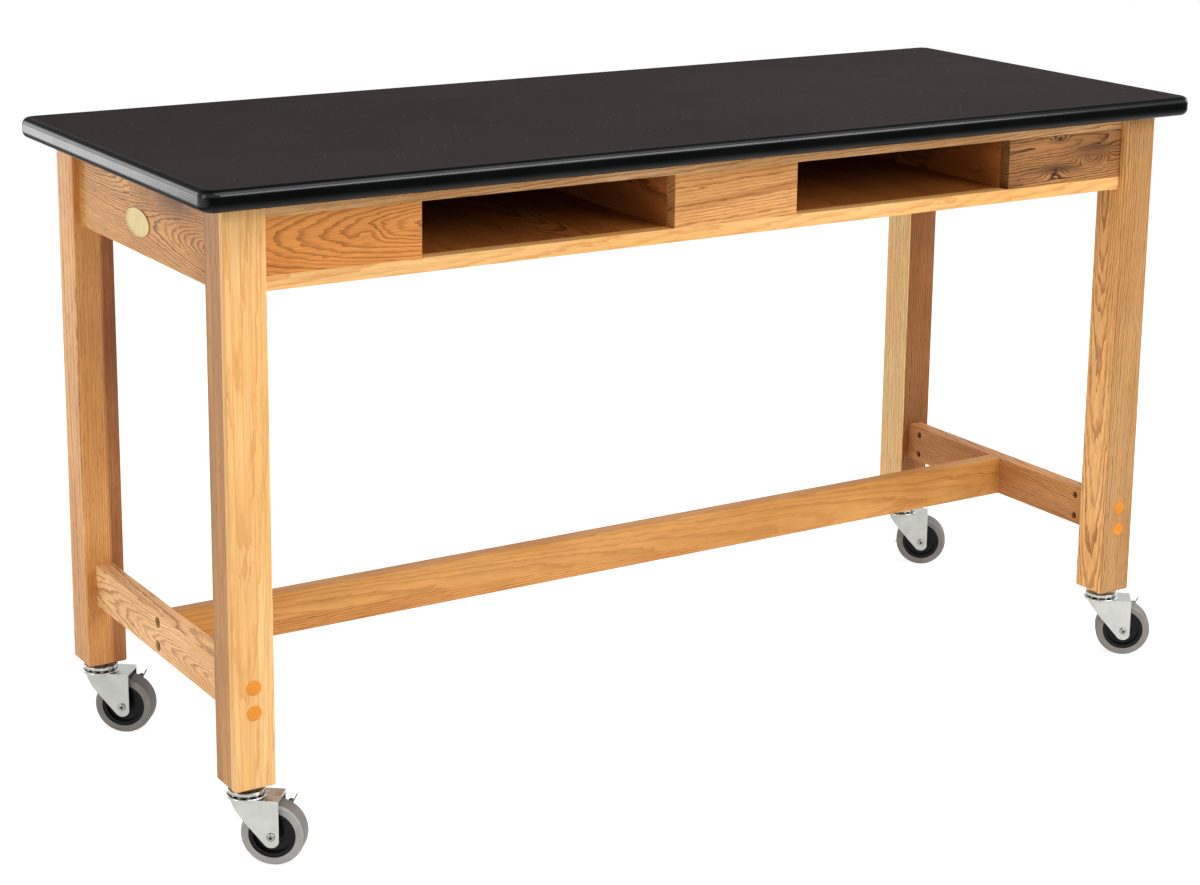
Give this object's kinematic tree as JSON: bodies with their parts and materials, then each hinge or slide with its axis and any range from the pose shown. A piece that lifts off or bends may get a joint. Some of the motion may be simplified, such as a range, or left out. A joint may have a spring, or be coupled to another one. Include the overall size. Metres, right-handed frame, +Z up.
{
  "type": "laboratory table",
  "caption": "Wooden laboratory table with a dark rounded worktop, open book compartments, an H-shaped stretcher and braked swivel casters.",
  "frame": {"origin": "bottom centre of the table, on the floor", "axes": "+X along the table to the right, +Y from the front with its open compartments to the back, +Z up"},
  "size_m": [1.524, 0.61, 0.849],
  "materials": {
    "worktop_core": "particle board",
    "worktop_laminate": "matte black laminate",
    "worktop_backer": "dark backer sheet",
    "worktop_edge": "glossy black",
    "leg_wood": "satin lacquered oak",
    "rail_wood": "satin lacquered oak",
    "panel_wood": "satin lacquered oak",
    "box_wood": "satin lacquered plywood",
    "stretcher_wood": "satin lacquered oak",
    "plug_wood": "satin lacquered oak",
    "zinc_steel": "zinc plated",
    "bright_steel": "bright zinc",
    "fork_steel": "pale zinc",
    "lever_steel": "zinc plated",
    "plate_metal": "satin brass",
    "hub_plastic": "glossy black",
    "tyre_rubber": "grey rubber"
  },
  "bodies": {
    "table": {"top_core": "worktop_core", "top_laminate": "worktop_laminate", "top_backer": "worktop_backer", "edge_moulding": "worktop_edge", "leg_front_left": "leg_wood", "leg_front_right": "leg_wood", "leg_back_left": "leg_wood", "leg_back_right": "leg_wood", "front_top_rail": "rail_wood", "front_lower_rail": "rail_wood", "front_panel_left": "panel_wood", "front_panel_middle": "panel_wood", "front_panel_right": "panel_wood", "back_apron": "panel_wood", "end_apron_left": "panel_wood", "end_apron_right": "panel_wood", "box_floor_left": "box_wood", "box_floor_right": "box_wood", "box_back_left": "box_wood", "box_back_right": "box_wood", "box_wall_left_inner": "box_wood", "box_wall_left_outer": "box_wood", "box_wall_right_inner": "box_wood", "box_wall_right_outer": "box_wood", "end_stretcher_left": "stretcher_wood", "end_stretcher_right": "stretcher_wood", "long_stretcher": "stretcher_wood", "wood_plugs": "plug_wood", "stretcher_bolts": "zinc_steel", "barrel_nuts": "zinc_steel", "corner_braces": "zinc_steel", "hanger_bolts": "zinc_steel", "hanger_nuts": "zinc_steel", "worktop_clips": "zinc_steel", "clip_screws": "zinc_steel", "stem_sockets": "zinc_steel", "caster_stems": "bright_steel", "swivel_balls": "bright_steel", "name_plate": "plate_metal"},
    "caster_front_left": {"fork_front_left": "fork_steel", "axle_front_left": "bright_steel"},
    "wheel_front_left": {"wheel_hub_front_left": "hub_plastic", "tyre_front_left": "tyre_rubber"},
    "lever_front_left": {"brake_lever_front_left": "lever_steel"},
    "caster_front_right": {"fork_front_right": "fork_steel", "axle_front_right": "bright_steel"},
    "wheel_front_right": {"wheel_hub_front_right": "hub_plastic", "tyre_front_right": "tyre_rubber"},
    "lever_front_right": {"brake_lever_front_right": "lever_steel"},
    "caster_back_left": {"fork_back_left": "fork_steel", "axle_back_left": "bright_steel"},
    "wheel_back_left": {"wheel_hub_back_left": "hub_plastic", "tyre_back_left": "tyre_rubber"},
    "lever_back_left": {"brake_lever_back_left": "lever_steel"},
    "caster_back_right": {"fork_back_right": "fork_steel", "axle_back_right": "bright_steel"},
    "wheel_back_right": {"wheel_hub_back_right": "hub_plastic", "tyre_back_right": "tyre_rubber"},
    "lever_back_right": {"brake_lever_back_right": "lever_steel"}
  },
  "joints": [
    {"name": "swivel_front_left", "type": "hinge", "parent": "table", "child": "caster_front_left", "pos_m": [-0.6975, -0.2405, 0.09], "axis": [0, 0, 1], "continuous": true},
    {"name": "roll_front_left", "type": "hinge", "parent": "caster_front_left", "child": "wheel_front_left", "pos_m": [-0.67108, -0.2619, 0.04], "axis": [0.6293, 0.7771, 0], "continuous": true},
    {"name": "brake_front_left", "type": "hinge", "parent": "caster_front_left", "child": "lever_front_left", "pos_m": [-0.67108, -0.2619, 0.04], "axis": [-0.6293, -0.7771, 0], "range_deg": [0, 140]},
    {"name": "swivel_front_right", "type": "hinge", "parent": "table", "child": "caster_front_right", "pos_m": [0.6975, -0.2405, 0.09], "axis": [0, 0, 1], "continuous": true},
    {"name": "roll_front_right", "type": "hinge", "parent": "caster_front_right", "child": "wheel_front_right", "pos_m": [0.72392, -0.2619, 0.04], "axis": [0.6293, 0.7771, 0], "continuous": true},
    {"name": "brake_front_right", "type": "hinge", "parent": "caster_front_right", "child": "lever_front_right", "pos_m": [0.72392, -0.2619, 0.04], "axis": [-0.6293, -0.7771, 0], "range_deg": [0, 140]},
    {"name": "swivel_back_left", "type": "hinge", "parent": "table", "child": "caster_back_left", "pos_m": [-0.6975, 0.2405, 0.09], "axis": [0, 0, 1], "continuous": true},
    {"name": "roll_back_left", "type": "hinge", "parent": "caster_back_left", "child": "wheel_back_left", "pos_m": [-0.67108, 0.2191, 0.04], "axis": [0.6293, 0.7771, 0], "continuous": true},
    {"name": "brake_back_left", "type": "hinge", "parent": "caster_back_left", "child": "lever_back_left", "pos_m": [-0.67108, 0.2191, 0.04], "axis": [-0.6293, -0.7771, 0], "range_deg": [0, 140]},
    {"name": "swivel_back_right", "type": "hinge", "parent": "table", "child": "caster_back_right", "pos_m": [0.6975, 0.2405, 0.09], "axis": [0, 0, 1], "continuous": true},
    {"name": "roll_back_right", "type": "hinge", "parent": "caster_back_right", "child": "wheel_back_right", "pos_m": [0.72392, 0.2191, 0.04], "axis": [0.6293, 0.7771, 0], "continuous": true},
    {"name": "brake_back_right", "type": "hinge", "parent": "caster_back_right", "child": "lever_back_right", "pos_m": [0.72392, 0.2191, 0.04], "axis": [-0.6293, -0.7771, 0], "range_deg": [-140, 0]}
  ]
}
